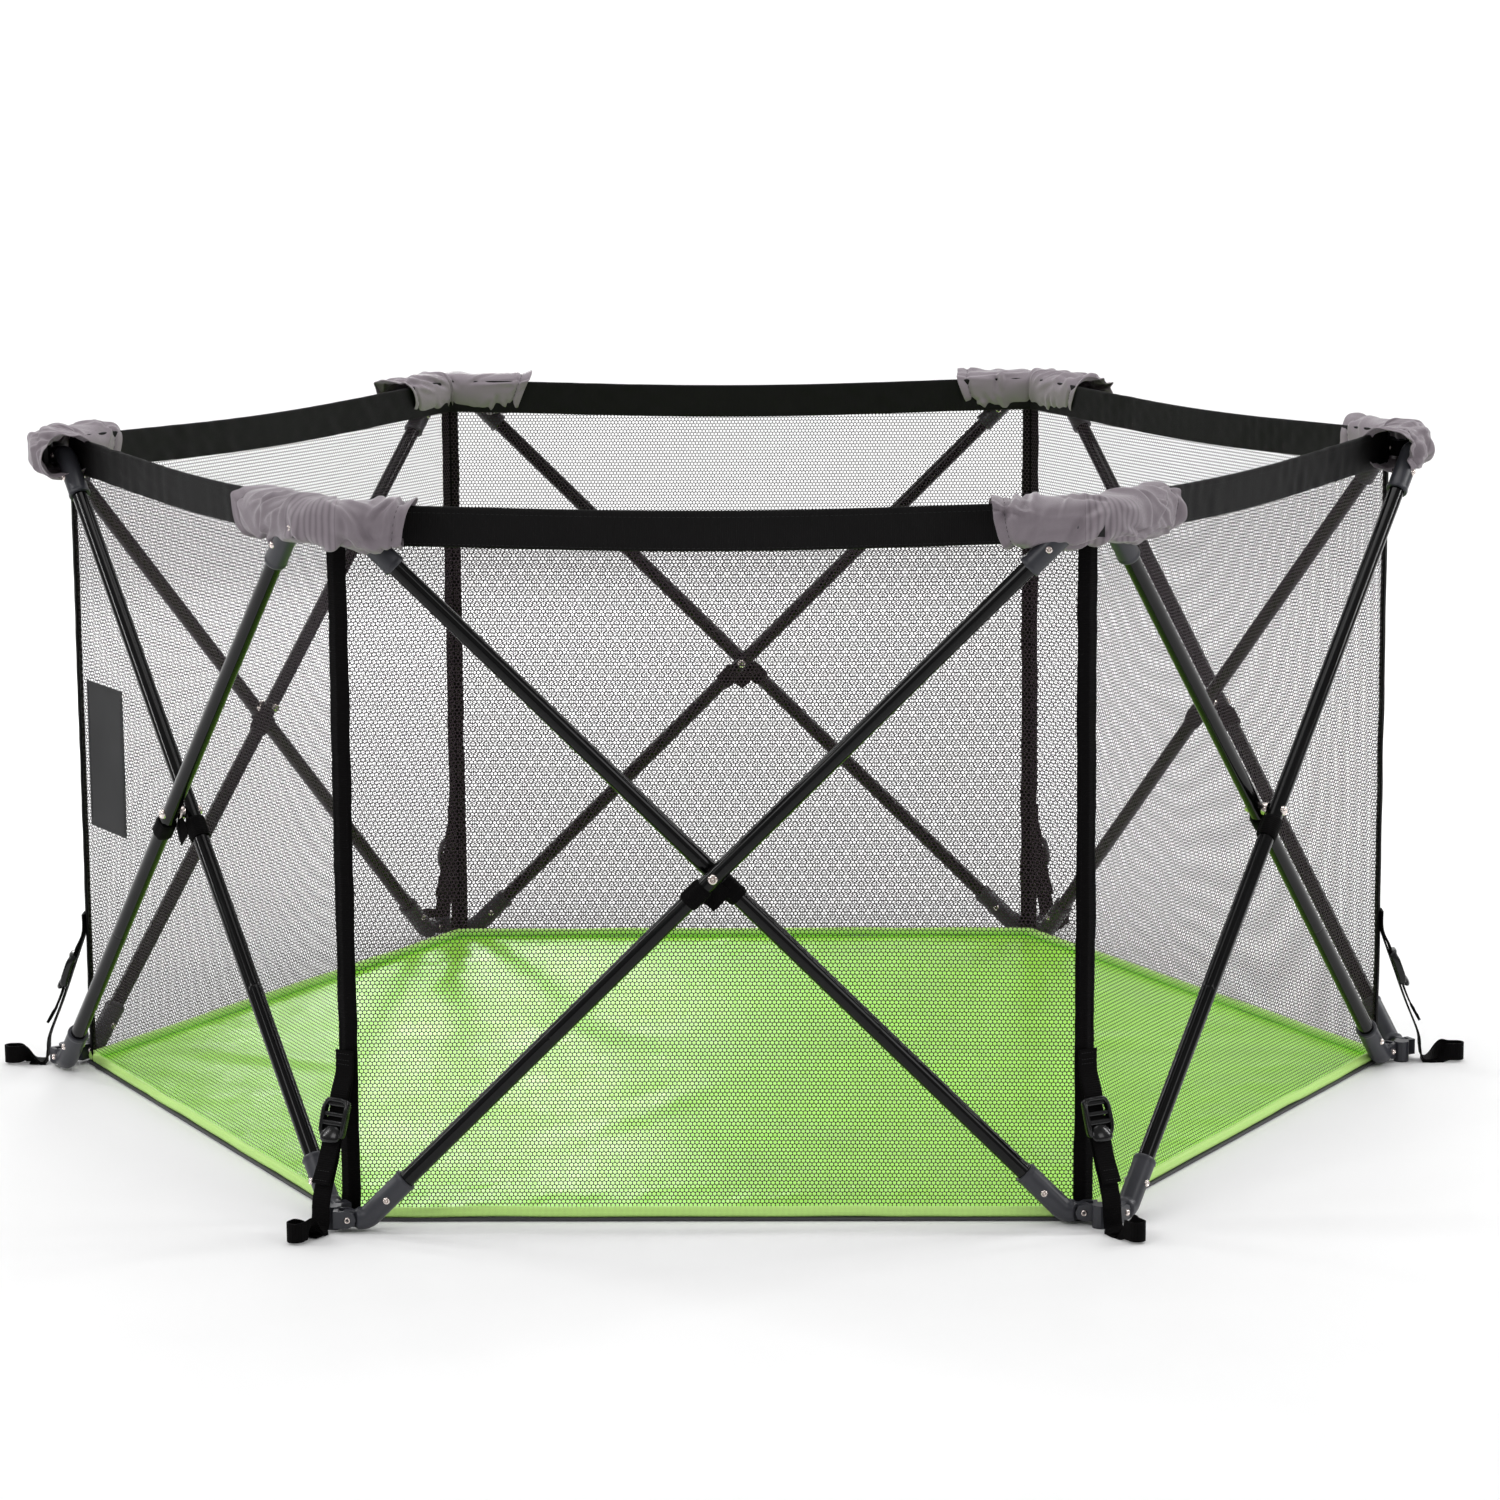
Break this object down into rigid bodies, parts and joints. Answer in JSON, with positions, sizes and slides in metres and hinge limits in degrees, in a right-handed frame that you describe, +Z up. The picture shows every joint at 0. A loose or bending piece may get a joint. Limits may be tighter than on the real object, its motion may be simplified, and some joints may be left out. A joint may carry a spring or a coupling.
{
  "type": "travel play yard",
  "caption": "Hexagonal folding play yard: crossed-tube scissor panels round a mesh-walled fabric tub with a floor, open at the top.",
  "frame": {"origin": "on the ground under the middle of the floor, the centre of the bounding box's bottom", "axes": "+Z up, the front panel faces -Y, +X through the right-hand corner"},
  "size_m": [1.5444, 1.3396, 0.6755],
  "materials": {
    "slate_plastic": "satin",
    "black_plastic": "satin",
    "gloss_black_steel": "gloss",
    "black_webbing": "woven",
    "grey_fabric": "woven, slight sheen",
    "black_mesh": "open net",
    "lime_fabric": "coated, slight sheen"
  },
  "bodies": {
    "foot_hub_1": {"foot_bracket_1": "black_plastic", "foot_strap_1": "black_webbing", "floor": "lime_fabric"},
    "top_hub_1": {"top_bracket_1": "black_plastic", "corner_cover_1": "grey_fabric", "mesh_wall_1": "black_mesh"},
    "outer_arm_1": {"outer_tube_1": "gloss_black_steel", "outer_foot_elbow_1": "slate_plastic"},
    "inner_arm_1": {"inner_tube_1": "gloss_black_steel", "inner_foot_elbow_1": "slate_plastic"},
    "foot_hub_2": {"foot_bracket_2": "black_plastic", "foot_strap_2": "black_webbing"},
    "top_hub_2": {"top_bracket_2": "black_plastic", "corner_cover_2": "grey_fabric", "mesh_wall_2": "black_mesh"},
    "outer_arm_2": {"outer_tube_2": "gloss_black_steel", "outer_foot_elbow_2": "slate_plastic"},
    "inner_arm_2": {"inner_tube_2": "gloss_black_steel", "inner_foot_elbow_2": "slate_plastic"},
    "foot_hub_3": {"foot_bracket_3": "black_plastic", "foot_strap_3": "black_webbing"},
    "top_hub_3": {"top_bracket_3": "black_plastic", "corner_cover_3": "grey_fabric", "mesh_wall_3": "black_mesh"},
    "outer_arm_3": {"outer_tube_3": "gloss_black_steel", "outer_foot_elbow_3": "slate_plastic"},
    "inner_arm_3": {"inner_tube_3": "gloss_black_steel", "inner_foot_elbow_3": "slate_plastic"},
    "foot_hub_4": {"foot_bracket_4": "black_plastic", "foot_strap_4": "black_webbing"},
    "top_hub_4": {"top_bracket_4": "black_plastic", "corner_cover_4": "grey_fabric", "mesh_wall_4": "black_mesh"},
    "outer_arm_4": {"outer_tube_4": "gloss_black_steel", "outer_foot_elbow_4": "slate_plastic"},
    "inner_arm_4": {"inner_tube_4": "gloss_black_steel", "inner_foot_elbow_4": "slate_plastic"},
    "foot_hub_5": {"foot_bracket_5": "black_plastic", "foot_strap_5": "black_webbing"},
    "top_hub_5": {"top_bracket_5": "black_plastic", "corner_cover_5": "grey_fabric", "mesh_wall_5": "black_mesh"},
    "outer_arm_5": {"outer_tube_5": "gloss_black_steel", "outer_foot_elbow_5": "slate_plastic"},
    "inner_arm_5": {"inner_tube_5": "gloss_black_steel", "inner_foot_elbow_5": "slate_plastic"},
    "foot_hub_6": {"foot_bracket_6": "black_plastic", "foot_strap_6": "black_webbing"},
    "top_hub_6": {"top_bracket_6": "black_plastic", "corner_cover_6": "grey_fabric", "mesh_wall_6": "black_mesh"},
    "outer_arm_6": {"outer_tube_6": "gloss_black_steel", "outer_foot_elbow_6": "slate_plastic"},
    "inner_arm_6": {"inner_tube_6": "gloss_black_steel", "inner_foot_elbow_6": "slate_plastic"}
  },
  "joints": [
    {"name": "fold", "type": "hinge", "parent": "foot_hub_1", "child": "outer_arm_1", "pos_m": [-0.3375, -0.62155, 0.0125], "axis": [0, -1, 0], "range_deg": [0, 45], "deforming": ["mesh_wall_1", "mesh_wall_2", "mesh_wall_3", "mesh_wall_4", "mesh_wall_5", "mesh_wall_6", "corner_cover_1", "corner_cover_2", "corner_cover_3", "corner_cover_4", "corner_cover_5", "corner_cover_6", "floor"]},
    {"name": "crossing_1", "type": "hinge", "parent": "outer_arm_1", "child": "inner_arm_1", "pos_m": [0, -0.61055, 0.33025], "axis": [0, -1, 0], "range_deg": [-90, 0]},
    {"name": "inner_foot_pin_1", "type": "hinge", "parent": "inner_arm_1", "child": "foot_hub_2", "pos_m": [0.3375, -0.59955, 0.0125], "axis": [0, -1, 0], "range_deg": [0, 45]},
    {"name": "outer_foot_pin_2", "type": "hinge", "parent": "foot_hub_2", "child": "outer_arm_2", "pos_m": [0.36953, -0.60306, 0.0125], "axis": [0.866, -0.5, 0], "range_deg": [0, 45]},
    {"name": "crossing_2", "type": "hinge", "parent": "outer_arm_2", "child": "inner_arm_2", "pos_m": [0.52875, -0.30527, 0.33025], "axis": [0.866, -0.5, 0], "range_deg": [-90, 0]},
    {"name": "inner_foot_pin_2", "type": "hinge", "parent": "inner_arm_2", "child": "foot_hub_3", "pos_m": [0.68797, -0.00749, 0.0125], "axis": [0.866, -0.5, 0], "range_deg": [0, 45]},
    {"name": "outer_foot_pin_3", "type": "hinge", "parent": "foot_hub_3", "child": "outer_arm_3", "pos_m": [0.70703, 0.01849, 0.0125], "axis": [0.866, 0.5, 0], "range_deg": [0, 45]},
    {"name": "crossing_3", "type": "hinge", "parent": "outer_arm_3", "child": "inner_arm_3", "pos_m": [0.52875, 0.30527, 0.33025], "axis": [0.866, 0.5, 0], "range_deg": [-90, 0]},
    {"name": "inner_foot_pin_3", "type": "hinge", "parent": "inner_arm_3", "child": "foot_hub_4", "pos_m": [0.35047, 0.59206, 0.0125], "axis": [0.866, 0.5, 0], "range_deg": [0, 45]},
    {"name": "outer_foot_pin_4", "type": "hinge", "parent": "foot_hub_4", "child": "outer_arm_4", "pos_m": [0.3375, 0.62155, 0.0125], "axis": [0, 1, 0], "range_deg": [0, 45]},
    {"name": "crossing_4", "type": "hinge", "parent": "outer_arm_4", "child": "inner_arm_4", "pos_m": [0, 0.61055, 0.33025], "axis": [0, 1, 0], "range_deg": [-90, 0]},
    {"name": "inner_foot_pin_6", "type": "hinge", "parent": "foot_hub_1", "child": "inner_arm_6", "pos_m": [-0.35047, -0.59206, 0.0125], "axis": [-0.866, -0.5, 0], "range_deg": [-45, 0]},
    {"name": "crossing_6", "type": "hinge", "parent": "inner_arm_6", "child": "outer_arm_6", "pos_m": [-0.52875, -0.30527, 0.33025], "axis": [-0.866, -0.5, 0], "range_deg": [0, 90]},
    {"name": "outer_foot_pin_6", "type": "hinge", "parent": "outer_arm_6", "child": "foot_hub_6", "pos_m": [-0.70703, -0.01849, 0.0125], "axis": [-0.866, -0.5, 0], "range_deg": [-45, 0]},
    {"name": "inner_foot_pin_5", "type": "hinge", "parent": "foot_hub_6", "child": "inner_arm_5", "pos_m": [-0.68797, 0.00749, 0.0125], "axis": [-0.866, 0.5, 0], "range_deg": [-45, 0]},
    {"name": "crossing_5", "type": "hinge", "parent": "inner_arm_5", "child": "outer_arm_5", "pos_m": [-0.52875, 0.30527, 0.33025], "axis": [-0.866, 0.5, 0], "range_deg": [0, 90]},
    {"name": "outer_foot_pin_5", "type": "hinge", "parent": "outer_arm_5", "child": "foot_hub_5", "pos_m": [-0.36953, 0.60306, 0.0125], "axis": [-0.866, 0.5, 0], "range_deg": [-45, 0]},
    {"name": "inner_top_pin_1", "type": "hinge", "parent": "inner_arm_1", "child": "top_hub_1", "pos_m": [-0.3375, -0.59955, 0.648], "axis": [0, -1, 0], "range_deg": [0, 45]},
    {"name": "inner_top_pin_2", "type": "hinge", "parent": "inner_arm_2", "child": "top_hub_2", "pos_m": [0.35047, -0.59206, 0.648], "axis": [0.866, -0.5, 0], "range_deg": [0, 45]},
    {"name": "inner_top_pin_3", "type": "hinge", "parent": "inner_arm_3", "child": "top_hub_3", "pos_m": [0.68797, 0.00749, 0.648], "axis": [0.866, 0.5, 0], "range_deg": [0, 45]},
    {"name": "inner_top_pin_4", "type": "hinge", "parent": "inner_arm_4", "child": "top_hub_4", "pos_m": [0.3375, 0.59955, 0.648], "axis": [0, 1, 0], "range_deg": [0, 45]},
    {"name": "inner_top_pin_5", "type": "hinge", "parent": "inner_arm_5", "child": "top_hub_5", "pos_m": [-0.35047, 0.59206, 0.648], "axis": [-0.866, 0.5, 0], "range_deg": [0, 45]},
    {"name": "inner_top_pin_6", "type": "hinge", "parent": "inner_arm_6", "child": "top_hub_6", "pos_m": [-0.68797, -0.00749, 0.648], "axis": [-0.866, -0.5, 0], "range_deg": [0, 45]}
  ],
  "couplings": [
    {"joint": "crossing_1", "follows": "fold", "ratio": -2},
    {"joint": "inner_foot_pin_1", "follows": "fold", "ratio": 1},
    {"joint": "outer_foot_pin_2", "follows": "fold", "ratio": 1},
    {"joint": "crossing_2", "follows": "fold", "ratio": -2},
    {"joint": "inner_foot_pin_2", "follows": "fold", "ratio": 1},
    {"joint": "outer_foot_pin_3", "follows": "fold", "ratio": 1},
    {"joint": "crossing_3", "follows": "fold", "ratio": -2},
    {"joint": "inner_foot_pin_3", "follows": "fold", "ratio": 1},
    {"joint": "outer_foot_pin_4", "follows": "fold", "ratio": 1},
    {"joint": "crossing_4", "follows": "fold", "ratio": -2},
    {"joint": "inner_foot_pin_6", "follows": "fold", "ratio": -1},
    {"joint": "crossing_6", "follows": "fold", "ratio": 2},
    {"joint": "outer_foot_pin_6", "follows": "fold", "ratio": -1},
    {"joint": "inner_foot_pin_5", "follows": "fold", "ratio": -1},
    {"joint": "crossing_5", "follows": "fold", "ratio": 2},
    {"joint": "outer_foot_pin_5", "follows": "fold", "ratio": -1},
    {"joint": "inner_top_pin_1", "follows": "fold", "ratio": 1},
    {"joint": "inner_top_pin_2", "follows": "fold", "ratio": 1},
    {"joint": "inner_top_pin_3", "follows": "fold", "ratio": 1},
    {"joint": "inner_top_pin_4", "follows": "fold", "ratio": 1},
    {"joint": "inner_top_pin_5", "follows": "fold", "ratio": 1},
    {"joint": "inner_top_pin_6", "follows": "fold", "ratio": 1}
  ]
}
